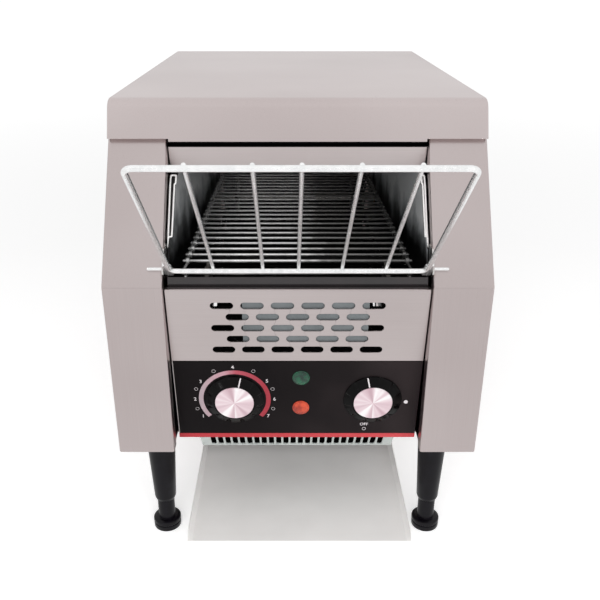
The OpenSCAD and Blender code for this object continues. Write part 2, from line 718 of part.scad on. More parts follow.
placed() top_cover();
placed() left_side_cover();
placed() right_side_cover();
placed() rear_panel();
placed() base_plate();
placed() left_inner_wall();
placed() right_inner_wall();
placed() left_bread_guide();
placed() right_bread_guide();
placed() hood_panel();
placed() vent_panel();
placed() vent_baffle();
placed() crumb_guard();
placed() control_panel();
placed() chin_grille();
placed() control_box_shield();
placed() upper_reflector();
placed() toast_slide();
placed() tray_rails();
placed() rack_eyes();
placed() upper_heaters();
placed() lower_heaters();
placed() heater_bushes();
placed() shaft_bearings();
placed() conveyor_belt();
placed() gear_motor();
placed() motor_bracket();
placed() drive_chain();
placed() speed_regulator();
placed() selector_switch();
placed() power_lens();
placed() heat_lens();
placed() lamp_bodies();
placed() terminal_block();
placed() cord_gland();
placed() front_left_leg();
placed() front_right_leg();
placed() rear_left_leg();
placed() rear_right_leg();
placed() leg_nuts();
placed() cover_screws();
placed() feed_rack();
placed() toast_tray();
placed() speed_knob();
placed() speed_knob_cap();
placed() selector_knob();
placed() selector_knob_cap();
placed() front_shaft();
placed() front_sprockets();
placed() rear_shaft();
placed() rear_sprockets();
placed() driven_sprocket();
placed() motor_sprocket();
placed() front_left_foot();
placed() front_right_foot();
placed() rear_left_foot();
placed() rear_right_foot();
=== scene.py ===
import math

import bmesh
import bpy
import numpy as np
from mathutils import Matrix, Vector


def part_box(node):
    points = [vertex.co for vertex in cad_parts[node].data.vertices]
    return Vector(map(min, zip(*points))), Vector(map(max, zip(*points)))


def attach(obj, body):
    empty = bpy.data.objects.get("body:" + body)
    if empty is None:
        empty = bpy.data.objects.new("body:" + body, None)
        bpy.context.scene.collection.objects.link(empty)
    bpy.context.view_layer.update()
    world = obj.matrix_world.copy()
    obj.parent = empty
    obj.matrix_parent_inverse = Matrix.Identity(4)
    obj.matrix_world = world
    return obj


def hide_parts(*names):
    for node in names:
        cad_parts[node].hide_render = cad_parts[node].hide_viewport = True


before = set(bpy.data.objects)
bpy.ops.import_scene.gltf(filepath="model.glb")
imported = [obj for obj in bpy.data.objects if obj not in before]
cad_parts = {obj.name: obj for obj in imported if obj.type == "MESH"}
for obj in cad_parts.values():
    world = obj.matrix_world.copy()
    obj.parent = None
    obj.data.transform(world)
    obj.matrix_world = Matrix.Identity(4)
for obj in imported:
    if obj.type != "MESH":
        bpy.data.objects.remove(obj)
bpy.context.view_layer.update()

# ---------------------------------------------------------------- studio
# A white room for a small machine: a pale floor that keeps the shadow, a plain white surround,
# three broad lamps that stay out of the reflections, and a tiny lamp on each side that glints
# in the glossy parts.

MM = 0.001
nose_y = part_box("right_side_cover")[0].y      # the fold that stands furthest forward


def linear(colour):
    """An sRGB hex value as linear RGBA: each channel c becomes ((c + 0.055) / 1.055) ** 2.4,
    or c / 12.92 where it is very dark."""
    channels = np.array([int(colour[i:i + 2], 16) for i in (1, 3, 5)]) / 255
    return (*np.where(channels > 0.04045, ((channels + 0.055) / 1.055) ** 2.4, channels / 12.92), 1)


def add(tree, kind, settings=(), links=()):
    """Adds one node. Settings name its properties or its inputs; links name its inputs and
    give the outputs that feed them."""
    made = tree.nodes.new(kind)
    for key, value in dict(settings).items():
        if isinstance(key, int) or key in made.inputs:
            made.inputs[key].default_value = value
        else:
            setattr(made, key, value)
    for key, output in dict(links).items():
        tree.links.new(output, made.inputs[key])
    return made


def fresh_tree(owner):
    """The owner's node tree, emptied."""
    owner.use_nodes = True
    owner.node_tree.nodes.clear()
    return owner.node_tree


def blank(name):
    """A new material, its empty node tree and the object coordinates in it."""
    made = bpy.data.materials.new(name)
    tree = fresh_tree(made)
    return made, tree, add(tree, "ShaderNodeTexCoord").outputs["Object"]


def noise(tree, at, scale, detail=2.0, **settings):
    """A value that wanders about a half, in patches a metre / scale wide."""
    settings = {"Scale": scale, "Detail": detail, **settings}
    return add(tree, "ShaderNodeTexNoise", settings, {"Vector": at}).outputs["Fac"]


def coordinate(tree, vector, axis):
    """One coordinate of a vector."""
    return add(tree, "ShaderNodeSeparateXYZ", links={0: vector}).outputs[axis]


def stretched(tree, value, old, new=(0, 1)):
    """A value that runs between the two old limits, made to run between the two new ones."""
    limits = {"From Min": old[0], "From Max": old[1], "To Min": new[0], "To Max": new[1]}
    return add(tree, "ShaderNodeMapRange", limits, {"Value": value}).outputs["Result"]


def summed(tree, value, weight, more):
    """value x weight + more."""
    settings = {"operation": "MULTIPLY_ADD", 1: weight}
    return add(tree, "ShaderNodeMath", settings, {0: value, 2: more}).outputs[0]


def ramp(tree, value, *stops):
    """The colour that follows a value, through stops of (place, hex colour)."""
    made = add(tree, "ShaderNodeValToRGB", links={"Fac": value})
    elements = made.color_ramp.elements
    for place, _ in stops[len(elements):]:
        elements.new(place)
    for stop, (place, colour) in zip(elements, stops):
        stop.position, stop.color = place, linear(colour)
    return made.outputs["Color"]


def mixed(tree, share, first, second):
    """The first shader where the share is 0, the second where it is 1."""
    return add(tree, "ShaderNodeMixShader", links={0: share, 1: first, 2: second}).outputs[0]


def ray_kinds(tree):
    """Two shares: 1 for what the camera sees, and 1 for what metal and glass see."""
    rays = add(tree, "ShaderNodeLightPath").outputs
    mirror = add(tree, "ShaderNodeMath", {"operation": "MAXIMUM"},
                 {0: rays["Is Glossy Ray"], 1: rays["Is Transmission Ray"]})
    return rays["Is Camera Ray"], mirror.outputs[0]


def linked(name, data):
    """A new object in the scene."""
    made = bpy.data.objects.new(name, data)
    bpy.context.scene.collection.objects.link(made)
    return made


def white_room():
    """White for the camera, a pale grey for reflections, darkest straight to the front, and
    a plain half-strength white for the light on dull surfaces."""
    world = bpy.data.worlds.new("white_room")
    tree = fresh_tree(world)
    by_camera, by_mirror = ray_kinds(tree)
    towards = add(tree, "ShaderNodeTexCoord").outputs["Generated"]
    backness = stretched(tree, coordinate(tree, towards, "Y"), (-1, 1))
    pale = ramp(tree, backness, (0.05, "#E7E7E7"), (0.18, "#F5F5F5"), (0.95, "#EFEFEF"))
    dull = add(tree, "ShaderNodeBackground", {"Color": linear("#FFFFFF"), "Strength": 0.5})
    mirrored = add(tree, "ShaderNodeBackground", links={"Color": pale})
    white = add(tree, "ShaderNodeBackground", {"Color": linear("#FFFFFF"), "Strength": 1.0})
    unseen = mixed(tree, by_mirror, dull.outputs[0], mirrored.outputs[0])
    view = mixed(tree, by_camera, unseen, white.outputs[0])
    add(tree, "ShaderNodeOutputWorld", links={"Surface": view})
    bpy.context.scene.world = world


def pale_floor():
    """A floor of matt white paper: dull light keeps the shadow, and a glow, stronger further
    off where the lamps fall short, lifts the rest to the white of the room. Reflections and
    the view through glass see an even pale grey."""
    reach, near, far = 30.0, 0.8, 3.0
    mesh = bpy.data.meshes.new("floor")
    corners = np.array([[-1, -1, 0], [1, -1, 0], [1, 1, 0], [-1, 1, 0]]) * reach
    mesh.from_pydata(corners, [], [(0, 1, 2, 3)])
    floor = linked("floor", mesh)
    paper, tree, at = blank("white_paper")
    by_camera, by_mirror = ray_kinds(tree)
    tone = ramp(tree, noise(tree, at, 220.0), (0.3, "#EDEDED"), (0.7, "#F1F1F1"))
    dull = add(tree, "ShaderNodeBsdfDiffuse", links={"Color": tone})
    distance = add(tree, "ShaderNodeVectorMath", {"operation": "LENGTH"}, {0: at}).outputs["Value"]
    lift = add(tree, "ShaderNodeMath", {"operation": "MULTIPLY"},
               {0: by_camera, 1: stretched(tree, distance, (near, far), (0.42, 0.62))})
    glow = add(tree, "ShaderNodeEmission", {"Color": linear("#FFFFFF")}, {"Strength": lift.outputs[0]})
    both = add(tree, "ShaderNodeAddShader", links={0: dull.outputs[0], 1: glow.outputs[0]})
    even = add(tree, "ShaderNodeEmission", {"Color": linear("#F0F0F0")})
    face = mixed(tree, by_mirror, both.outputs[0], even.outputs[0])
    add(tree, "ShaderNodeOutputMaterial", links={"Surface": face})
    mesh.materials.append(paper)


def lamp(name, place, size, level, mirrored=False):
    """A flat lamp of that size whose face has brightness level, turned towards the machine's
    middle. One that isn't mirrored lights the scene but stays out of the reflections."""
    data = bpy.data.lights.new(name, "AREA")
    data.shape = "RECTANGLE"
    data.size, data.size_y = size
    data.energy = level * math.pi * size[0] * size[1]
    made = linked(name, data)
    made.visible_glossy = mirrored
    way = np.subtract((0, 0, 0.2), place)
    made.location = place
    made.rotation_euler = (math.atan2(math.hypot(way[0], way[1]), -way[2]), 0, math.atan2(-way[0], way[1]))


def camera():
    """The eye above and in front of the machine, looking 24 degrees down. The picture is
    600 pixels wide and lies 10 of them to the right of the eye's axis."""
    data = bpy.data.cameras.new("camera")
    data.sensor_width, data.lens = 36.0, 43.8
    data.shift_x = 10 / 600
    eye = linked("camera", data)
    eye.location = (-0.0058, nose_y - 0.490, 0.467)
    eye.rotation_euler = (math.radians(90 - 24), 0, 0)
    bpy.context.scene.camera = eye


white_room()
pale_floor()
lamp("lamp_above", (-0.25, nose_y - 0.35, 1.35), (0.9, 0.9), 0.9)
lamp("lamp_high_front", (0.1, nose_y - 1.1, 0.70), (1.4, 0.6), 4.9)
lamp("lamp_left", (-0.62, nose_y - 0.85, 0.12), (0.035, 0.03), 25.0, True)
lamp("lamp_right", (0.75, nose_y - 0.75, 0.16), (0.035, 0.03), 25.0, True)
lamp("lamp_front", (0, nose_y - 1.3, 0.30), (2.0, 0.25), 3.0)
camera()
bpy.context.scene.view_settings.view_transform = "Standard"

# ---------------------------------------------------------------- lid
# The lid is one sheet of satin stainless steel: a slanted front lip, a soft front bend, and
# rims turned down at the sides and the back. It drops over the side covers.

steel_t, broken = 1.2, 0.25            # the sheet, and how far its sharp edges are broken
lid_low, lid_high = (np.array(corner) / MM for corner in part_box("top_cover"))
half_w, body_h, rim_z = lid_high[0], lid_high[2], lid_low[2]
body_d = lid_high[1] - nose_y / MM
lip_y, bend_y, bend_r = lid_low[1] - nose_y / MM, 74.0, 11.0
hem, lip_drop = 4.2, 2.0
notch_x = (97.4, 97.6)
crease = math.radians(35)              # edges sharper than this stay sharp


def unit(vectors):
    """Vectors made one long."""
    return vectors / np.linalg.norm(vectors, axis=-1, keepdims=True)


def placed(x, y, z):
    """Points from coordinates that are broadcast to one grid."""
    return np.stack(np.broadcast_arrays(x, y, z), -1)


def rounded(path, radius, steps=6):
    """The path with every inner corner swapped for an arc: its middle lies on the corner's
    bisector, radius / sin(half the corner) away, and the arc turns evenly between the two
    points where it touches the straights."""
    path = np.asarray(path, float)
    before, corner, after = path[:-2], path[1:-1], path[2:]
    r = np.broadcast_to(np.asarray(radius, float), len(corner))[:, None]
    u, v = unit(before - corner), unit(after - corner)
    half = np.arccos(np.clip((u * v).sum(1, keepdims=True), -1, 1)) / 2
    middle = corner + unit(u + v) * r / np.sin(half)
    start, end = corner + u * r / np.tan(half) - middle, corner + v * r / np.tan(half) - middle
    turn = (math.pi - 2 * half)[:, None]
    part = np.linspace(0, 1, steps + 1)[None, :, None]
    swing = np.sin((1 - part) * turn) * start[:, None] + np.sin(part * turn) * end[:, None]
    arcs = middle[:, None] + swing / np.sin(turn)
    return np.concatenate([path[:1], arcs.reshape(-1, path.shape[1]), path[-1:]])


def shell(name, *grids):
    """One mesh from grids of points (rows, columns, xyz), in millimetres from the middle
    plane, the nose fold and the floor. Each cell is one face; points that meet are merged,
    which closes seams and poles, and the faces are turned outwards."""
    faces, first = [], 0
    for grid in grids:
        index = first + np.arange(grid.shape[0] * grid.shape[1]).reshape(grid.shape[:2])
        cells = [index[:-1, :-1], index[:-1, 1:], index[1:, 1:], index[1:, :-1]]
        faces.append(np.stack(cells, -1).reshape(-1, 4))
        first += index.size
    corners = np.concatenate([grid.reshape(-1, 3) for grid in grids]) * MM + (0, nose_y, 0)
    mesh = bpy.data.meshes.new(name)
    mesh.from_pydata(corners, [], np.concatenate(faces).tolist())
    work = bmesh.new()
    work.from_mesh(mesh)
    bmesh.ops.remove_doubles(work, verts=work.verts, dist=2e-6)
    bmesh.ops.dissolve_degenerate(work, edges=work.edges, dist=1e-7)
    bmesh.ops.recalc_face_normals(work, faces=work.faces)
    work.to_mesh(mesh)
    work.free()
    mesh.shade_smooth()
    mesh.set_sharp_from_angle(angle=crease)
    return linked(name, mesh)


def smooth_by_angle():
    """A node group that joins loose triangles at their corners and shades them smooth up to
    the crease angle."""
    group = bpy.data.node_groups.new("smooth_by_angle", "GeometryNodeTree")
    for way in ("INPUT", "OUTPUT"):
        group.interface.new_socket("Geometry", in_out=way, socket_type="NodeSocketGeometry")
    start = add(group, "NodeGroupInput")
    merged = add(group, "GeometryNodeMergeByDistance", {"Distance": 4e-6}, {0: start.outputs[0]})
    angle = add(group, "GeometryNodeInputMeshEdgeAngle")
    gentle = add(group, "FunctionNodeCompare", {"operation": "LESS_THAN", 1: crease},
                 {0: angle.outputs["Unsigned Angle"]})
    faces = add(group, "GeometryNodeSetShadeSmooth", {"domain": "FACE"}, {0: merged.outputs[0]})
    edges = add(group, "GeometryNodeSetShadeSmooth", {"domain": "EDGE"},
                {0: faces.outputs[0], "Shade Smooth": gentle.outputs[0]})
    add(group, "NodeGroupOutput", links={0: edges.outputs[0]})
    return group


smoothing = smooth_by_angle()


def eased(piece, width):
    """Shades a piece smooth and breaks its sharp edges by that width in millimetres, as
    deburring does."""
    join = piece.modifiers.new("smooth", "NODES")
    join.node_group = smoothing
    if width:
        edge = piece.modifiers.new("deburr", "BEVEL")
        edge.width, edge.segments = width * MM, 2
        edge.limit_method, edge.angle_limit = "ANGLE", crease
        edge.harden_normals = True
    return piece


def thick(piece, thickness):
    """Gives an outer face its sheet thickness in millimetres, against its normals; a negative
    one lies on their side."""
    wall = piece.modifiers.new("sheet", "SOLIDIFY")
    wall.thickness, wall.offset = thickness * MM, -1
    return piece


def bump(tree, height, strength, depth):
    """The normal of a relief depth millimetres deep, laid on with a strength from 0 to 1."""
    settings = {"Strength": strength, "Distance": depth * MM}
    return add(tree, "ShaderNodeBump", settings, {"Height": height}).outputs["Normal"]


def surface(tree, settings, links):
    """Ends a material's tree with one shader."""
    shader = add(tree, "ShaderNodeBsdfPrincipled", settings, links)
    add(tree, "ShaderNodeOutputMaterial", links={"Surface": shader.outputs[0]})


def satin_steel(name, light, dark, rough=0.30, along="X"):
    """Stainless steel with a fine belt-ground finish: fine parallel lines along one axis, which
    spread the gloss a little, and a faint cloudy change of tone. The lines are about 0.1 mm
    apart in the real sheet and drawn 0.5 mm apart, so that they show."""
    steel, tree, at = blank(name)
    fine, long = 1 / (0.5 * MM), 1 / (60 * MM)
    ground = add(tree, "ShaderNodeMapping", {"Scale": [long if axis == along else fine for axis in "XYZ"]},
                 {"Vector": at})
    lines = noise(tree, ground.outputs[0], 1.0)
    cloud = noise(tree, at, 7.0)
    surface(tree, {"Metallic": 1.0},
            {"Base Color": ramp(tree, summed(tree, lines, 0.45, cloud), (0.45, dark), (1.0, light)),
             "Roughness": stretched(tree, lines, (0, 1), (rough - 0.05, rough + 0.05)),
             "Normal": bump(tree, lines, 0.06, 0.05)})
    return steel


def fitted(piece, material, body, slot, *nodes):
    """Gives a new piece its material and its body, in place of the CAD nodes. The slot is not used."""
    piece.data.materials.append(material)
    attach(piece, body)
    if nodes:
        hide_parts(*nodes)
    return piece


def lid():
    """The lid's outer face. Rows follow the side outline from the hem behind the front lip to
    the rear rim; columns cross the lid, turn over each side edge by a quarter circle about a
    line 1.6 mm inside, and end on the rim's lower edge. Over the throat the lip is drawn 2 mm
    further down its own slope, between a pair of notches."""
    edge_r, steps = 1.6, 8
    outline = rounded([[lip_y + hem, rim_z], [lip_y, rim_z], [bend_y, body_h], [body_d, body_h],
                       [body_d, rim_z]], [0.6, bend_r, 2.0], steps)
    step = unit(np.gradient(outline, axis=0))
    inward = np.stack([step[:, 1], -step[:, 0]], 1)
    turn = np.radians(np.linspace(0, 90, 6))
    x = np.concatenate([notch_x, half_w - edge_r + edge_r * np.sin(turn), [half_w]])
    sunk = np.concatenate([[0, 0], edge_r * (1 - np.cos(turn))])
    edge = outline[:, None] + inward[:, None] * sunk[None, :, None]
    edge[..., 1] = np.maximum(edge[..., 1], rim_z)
    foot = edge[:, -1:].copy()
    foot[..., 1] = rim_z
    side = np.concatenate([edge, foot], 1)
    right = placed(x, side[..., 0], side[..., 1])
    lip_end, flat_columns = steps + 1, 3       # the last row of the lip's fold; those not turned down
    right[:lip_end, flat_columns:] = right[lip_end, flat_columns:]
    right[:lip_end + 1, 0] += (0, lip_drop * (lip_y - bend_y) / (body_h - rim_z), -lip_drop)
    left = right[:, ::-1] * (-1, 1, 1)
    return shell("lid", np.concatenate([left, right], 1))


lid_steel = satin_steel("lid_stainless", "#DACFCE", "#CDC1C0", along="Y")
fitted(eased(thick(lid(), steel_t), broken), lid_steel, "casing", "cover_steel", "top_cover")

# ---------------------------------------------------------------- side covers
# Each side cover is one folded stainless sheet: the outer wall, the front face that leans
# back above the nose fold, and returns along the throat and the rear edge.

throat_x, _, base_z = np.array(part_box("right_side_cover")[0]) / MM
nose_z, face_back = 258.0, 66.0
rear_return, throat_return = 14, 11


def side_cover(name, side):
    """The outer face of a side cover. Rows climb the front outline, upright and then leaning;
    columns follow the flat section from the rear return round to the throat return, whose
    front half moves back with the outline. A tongue runs on up under the lid's rim."""
    climb = rounded([[0, base_z], [0, nose_z], [face_back, rim_z]], 3.0)
    section = rounded([[half_w - rear_return, body_d], [half_w, body_d], [half_w, 0], [throat_x, 0],
                       [throat_x, throat_return]], [1.5, 2.2, 1.8])
    fore = section[:, 1] < body_d / 2
    wall = placed(side * section[:, 0], section[:, 1] + fore * climb[:, :1], climb[:, 1:])
    across = np.array([throat_x + 1, half_w - steel_t - 0.2]) * side
    tongue = placed(across, [[face_back], [face_back * 1.08]], [[rim_z], [rim_z + 8]])
    return shell(name, wall, tongue)


wall_steel = satin_steel("cover_stainless", "#CFC4C3", "#C3B7B6", along="Z")
for name, side in (("left_cover", -1), ("right_cover", 1)):
    cover = eased(thick(side_cover(name, side), steel_t), broken)
    fitted(cover, wall_steel, "casing", "cover_steel", name.replace("cover", "side_cover"))

# ---------------------------------------------------------------- plain sheet parts
# The rear panel, base plate, hood, vent panel and the sheets inside are cut and folded from
# stainless or aluminised sheet, deburred, and held by spot welds and screws.


def dressed(material, width, *nodes):
    """Gives CAD nodes a material on every slot, smooth shading and broken edges."""
    for node in nodes:
        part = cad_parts[node]
        for place in part.material_slots:
            place.material = material
        eased(part, width)


def darkened(finish, axis, clear, covered, colour):
    """Lays a flat colour over a finish along one object coordinate, as painted shade where the
    colour is dark and as a painted highlight where it is pale: none of it at the first limit in
    millimetres, all of it at the second and beyond."""
    tree = finish.node_tree
    out = tree.nodes["Material Output"]
    shader = out.inputs["Surface"].links[0].from_socket
    at = add(tree, "ShaderNodeTexCoord").outputs["Object"]
    share = stretched(tree, coordinate(tree, at, axis), (clear * MM, covered * MM))
    dull = add(tree, "ShaderNodeBsdfPrincipled", {"Base Color": linear(colour), "Roughness": 0.6,
                                                  "Specular IOR Level": 0.1})
    tree.links.new(mixed(tree, share, shader, dull.outputs[0]), out.inputs["Surface"])
    return finish


shade_z = 347.2                        # above it the hood panel is painted black as shade, in the gap under the lid
hood_steel = satin_steel("hood_stainless", "#DCD2D1", "#CFC4C3")
vent_steel = satin_steel("vent_stainless", "#D3C9C8", "#C6BBBA")
bright_steel = satin_steel("bright_stainless", "#E4E1DF", "#D2CECC", 0.22)
dressed(wall_steel, 0.2, "rear_panel", "base_plate", "tray_rails", "motor_bracket")
dressed(darkened(hood_steel, "Z", shade_z, shade_z + 0.3, "#0A0808"), 0.25, "hood_panel")
dressed(vent_steel, 0.2, "vent_panel")
dressed(bright_steel, 0.2, "rack_eyes")

# ---------------------------------------------------------------- toasting chamber
# The chamber walls are stainless sheet, heat-stained and darker low down by the belt; the ceiling
# is a polished reflector, and the slide below the belt is pale, painted black as shade low down.
# At the mouth each wall carries a bread guide, a folded strip with a bright bead pressed in it.


def plain_finish(name, light, dark, spot, rough, metallic, ior=1.5, specular=0.5):
    """A coat, a casting or a moulding with a faint mottle of spots about spot millimetres
    across."""
    coat, tree, at = blank(name)
    mottle = noise(tree, at, 1 / (spot * MM), 3.0)
    surface(tree, {"Metallic": metallic, "IOR": ior, "Specular IOR Level": specular},
            {"Base Color": ramp(tree, mottle, (0.3, dark), (0.7, light)),
             "Roughness": stretched(tree, mottle, (0, 1), (rough - 0.04, rough + 0.04))})
    return coat


def baked_steel():
    """Stainless steel tinted by heat: cloudy grey stains a few centimetres wide with patches
    that are still shiny, and darker low down beside the belt, paler upwards and, more slowly,
    towards the back."""
    steel, tree, at = blank("heat_darkened_stainless")
    up, back = 13.0, 1.7               # how much paler a metre up or back is
    level = 3.62 + back * (nose_y + 0.06)
    stain = noise(tree, at, 1 / (45 * MM), 4.0, Roughness=0.6)
    height = add(tree, "ShaderNodeVectorMath", {"operation": "DOT_PRODUCT", 1: (0, back, up)}, {0: at})
    above = add(tree, "ShaderNodeMath", {"operation": "SUBTRACT", 1: level}, {0: height.outputs["Value"]})
    both = add(tree, "ShaderNodeMath", {"operation": "ADD"}, {0: stain, 1: above.outputs[0]})
    tone = ramp(tree, both.outputs[0], (0.3, "#0E0E0F"), (0.46, "#55585A"), (0.62, "#B4B8BA"),
                (0.8, "#F2F4F5"))
    surface(tree, {"Metallic": 0.35},
            {"Base Color": tone, "Roughness": stretched(tree, stain, (0, 1), (0.5, 0.3))})
    return steel


guide_foot, guide_t, guide_len = 98.0, 0.4, 62.0
bead_foot, bead_inset, bead_lift, bead_r, bead_top = 97.5, 0.8, 0.9, 0.75, 0.86
guide_reach = {"left": (97.0, 92.6), "right": (97.2, 94.4)}      # x inside, at the foot and the top


def guide_line(narrow, wide):
    """A guide from its foot to its top: the share of the way up, the wall's front edge in the
    side view, the direction out of that edge, and x at the inner edge, which comes inwards by
    a quarter of a sine over the lower five eighths."""
    edge = rounded([[27, 279], [32, 286.5], [57.5, 320.5], [62.5, 325], [70, 326]], 4)
    step = unit(np.gradient(edge, axis=0))
    out = np.stack([-step[:, 1], step[:, 0]], 1)
    climb = np.linspace(0, 1, len(edge))
    inner = narrow - (narrow - wide) * np.sin(np.minimum(climb * 1.6, 1) * math.pi / 2)
    return climb, edge, out, inner


def guide_strip(name, side, edge, out, inner):
    """The folded sheet. Rows follow the wall's edge; columns go round its thin section: outer
    foot, outer edge, inner edge, inner foot. A fan closes each end."""
    foot = np.full(len(edge), guide_foot)
    x = np.stack([foot, foot, inner, inner, foot], 1)
    sheet = edge[:, None] + out[:, None] * np.array([[0], [guide_t], [guide_t], [0], [0]])
    rows = placed(side * x, sheet[..., 0], sheet[..., 1])
    middle = rows[:, :4].mean(axis=1, keepdims=True)
    caps = [np.concatenate([rows[[row]], np.broadcast_to(middle[row], (1, 5, 3))]) for row in (0, -1)]
    return shell(name, rows, *caps)


def guide_bead(name, side, climb, edge, out, inner):
    """The bright bead pressed in the strip, a round line: up beside the wall, over a half
    circle near the top, and down beside the inner edge."""
    rim = (bead_foot - inner[-1]) / 2 - bead_inset / 2
    turn = np.linspace(0, math.pi, 13)[1:-1]
    leg = np.linspace(0, bead_top, 24)
    place = np.concatenate([leg, bead_top + rim / guide_len * np.sin(turn), leg[::-1]])
    x = np.concatenate([np.full(len(leg), bead_foot),
                        (bead_foot + inner[-1] + bead_inset) / 2 + rim * np.cos(turn),
                        np.interp(leg[::-1], climb, inner) + bead_inset])
    line, up = (np.stack([np.interp(place, climb, part) for part in course.T], 1) for course in (edge, out))
    path = np.column_stack([side * x, line + bead_lift * up])
    normal = np.column_stack([np.zeros(len(path)), up])
    beside = unit(np.cross(np.gradient(path, axis=0), normal))
    angle = np.linspace(0, 2 * math.pi, 11)[None, :, None]
    thin = np.full((len(path), 1, 1), bead_r)
    thin[[0, -1]] = 0
    across = np.cos(angle) * normal[:, None] + np.sin(angle) * beside[:, None]
    return shell(name, path[:, None] + thin * across)


guide_steel = plain_finish("polished_guide_bead", "#F4F3F2", "#E2E1E0", 20, 0.2, 0.35)
guide_black = plain_finish("browned_guide_strip", "#161415", "#0E0D0D", 12, 0.4, 0, 1.5, 0.2)
for hand, side in (("left", -1), ("right", 1)):
    climb, edge, out, inner = guide_line(*guide_reach[hand])
    strip = guide_strip(f"{hand}_guide", side, edge, out, inner)
    fitted(strip, guide_black, "casing", "chamber_steel", f"{hand}_bread_guide")
    bead = guide_bead(f"{hand}_guide_bead", side, climb, edge, out, inner)
    fitted(bead, guide_steel, "casing", "bright_steel")

dressed(baked_steel(), 0, "left_inner_wall", "right_inner_wall")
guard_dark = plain_finish("dark_brown_guard_sheet", "#1C1416", "#120C0E", 25, 0.14, 0, 1.55, 0.7)
dressed(guard_dark, 0, "crumb_guard")
dressed(bright_steel, 0, "upper_reflector")


def quartz():
    """Frosted quartz tube over a heating coil: milky, smooth and glossy."""
    glass, tree, at = blank("frosted_quartz")
    surface(tree, {"Roughness": 0.25, "IOR": 1.46, "Transmission Weight": 0.4},
            {"Base Color": ramp(tree, noise(tree, at, 120.0), (0.3, "#E4DFD6"), (0.7, "#F2EFE8"))})
    return glass


slide_shade_z = 228                           # below it the slide is painted black as shade
# The shield and the lower heaters are painted near black as shade.
shade_black = plain_finish("painted_shade_sheet", "#141313", "#0C0B0B", 12, 0.5, 0, 1.5, 0.1)
slide_steel = plain_finish("slide_stainless_painted_shade", "#FFFFFF", "#E0E3E6", 30, 0.35, 0.25)
dressed(quartz(), 0, "upper_heaters")
dressed(shade_black, 0, "control_box_shield", "lower_heaters")
dressed(darkened(slide_steel, "Z", slide_shade_z + 10, slide_shade_z, "#100F0F"), 0, "toast_slide")
dressed(plain_finish("dull_baffle_steel", "#6F7476", "#606567", 30, 0.42, 0.4), 0.2, "vent_baffle")
dressed(plain_finish("glazed_ceramic", "#F0EDE4", "#E6E1D5", 6, 0.25, 0), 0, "heater_bushes")
dressed(plain_finish("oiled_bronze", "#B58F55", "#8F6B38", 3, 0.35, 1), 0, "shaft_bearings")

# ---------------------------------------------------------------- conveyor
# The belt is links of hard-drawn steel wire, with painted shade on its return run, on stamped
# sprockets and turned shafts; a roller chain drives it from the gear motor.

belt_half, return_z = 88, 243          # half its width, and the height below which it is painted black as shade


def belt_finish():
    """Hard-drawn belt wire: brighter left of the middle and darker towards the right, with stains a
    centimetre wide; the return run below is painted black as shade."""
    steel, tree, at = blank("belt_wire_painted_shade")
    across = stretched(tree, coordinate(tree, at, "X"), (-belt_half * MM, belt_half * MM))
    stain = noise(tree, at, 1 / (11 * MM), 3.0)
    tone = ramp(tree, summed(tree, stain, 0.3, across), (0.1, "#A5A5A4"), (0.4, "#FFFFFF"),
                (0.62, "#F2F2F2"), (0.78, "#8A8988"), (1.0, "#6F6E6D"))
    surface(tree, {"Metallic": 0.85, "Roughness": 0.24}, {"Base Color": tone})
    return darkened(steel, "Z", return_z + 4, return_z, "#0E0D0D")


dressed(belt_finish(), 0, "conveyor_belt")
# The sprockets are painted dark as shade, so no glints show through the vent slots.
dressed(plain_finish("stamped_sprocket_steel", "#55524F", "#403E3B", 5, 0.45, 0.8), 0,
        "front_sprockets", "rear_sprockets", "driven_sprocket", "motor_sprocket")
dressed(plain_finish("turned_shaft_steel", "#C4C1BD", "#A8A5A1", 2, 0.25, 1), 0,
        "front_shaft", "rear_shaft")
dressed(plain_finish("oiled_chain_steel", "#7A766F", "#4F4B45", 2, 0.3, 1), 0, "drive_chain")
dressed(plain_finish("zinc_die_casting", "#B5B1AA", "#9E9A93", 4, 0.45, 0.8), 0.2, "gear_motor")

# ---------------------------------------------------------------- control panel
# The control panel is black screen-printed steel with a red line along its lower edge. Its
# dial ring, numbers and marks are printed in white and red ink.

tilt = math.radians(7.67)
panel_top_y, panel_top_z = 4.1, 255.0
vent_len, control_len, panel_x = 64.6, 78.6, 98.5
speed_x, selector_x, lamp_x, knob_s = -50.5, 61.0, 3.0, 103.0
ink_t = 0.06


def on_panel(flat, x, s):
    """Points drawn flat (right, up the slope, out of the panel) laid on the leaning panel at
    x and at s down its slope: the slope direction and the panel's normal are its two axes."""
    flat = np.asarray(flat, float)
    up = np.array([0, -math.sin(tilt), math.cos(tilt)])
    out = np.array([0, -math.cos(tilt), -math.sin(tilt)])
    foot = np.array([x, panel_top_y + s * math.sin(tilt), panel_top_z - s * math.cos(tilt)])
    return foot + flat[..., :1] * (1, 0, 0) + flat[..., 1:2] * up + flat[..., 2:] * out


def enamel():
    """Black stoving enamel, screen printed: almost black, slightly warm, with a very fine
    orange peel about a millimetre wide, and a painted sheen that makes it lighter and a little
    browner towards the right. A painted highlight, a pale line down its left edge, stands for a
    lit fold."""
    black, tree, at = blank("black_stoving_enamel")
    peel = noise(tree, at, 1 / (1.2 * MM), 1.0)
    sheen_and_mottle = summed(tree, coordinate(tree, at, "X"), 4.0, noise(tree, at, 14.0))
    surface(tree, {"Roughness": 0.42, "Specular IOR Level": 0.06},
            {"Base Color": ramp(tree, sheen_and_mottle, (0.2, "#110E0F"), (0.6, "#191516"), (0.95, "#272122")),
             "Normal": bump(tree, peel, 0.04, 0.05)})
    # A pale line down the left edge is a painted highlight.
    highlight_edge_x = 0.8 - panel_x
    return darkened(black, "X", highlight_edge_x, highlight_edge_x - 0.1, "#A39D9B")


dressed(enamel(), 0.2, "control_panel")

chin_line = np.array([[27.2, 111.2], [40.4, 92.4], [102, 101], [102, 110]])
chin_half, chin_t, chin_slots, slot_pitch = 82, 1.0, 24, 6.2
slot_r, slot_mid, slot_half, cell_steps = 2.25, 11.6, 8.9, 12


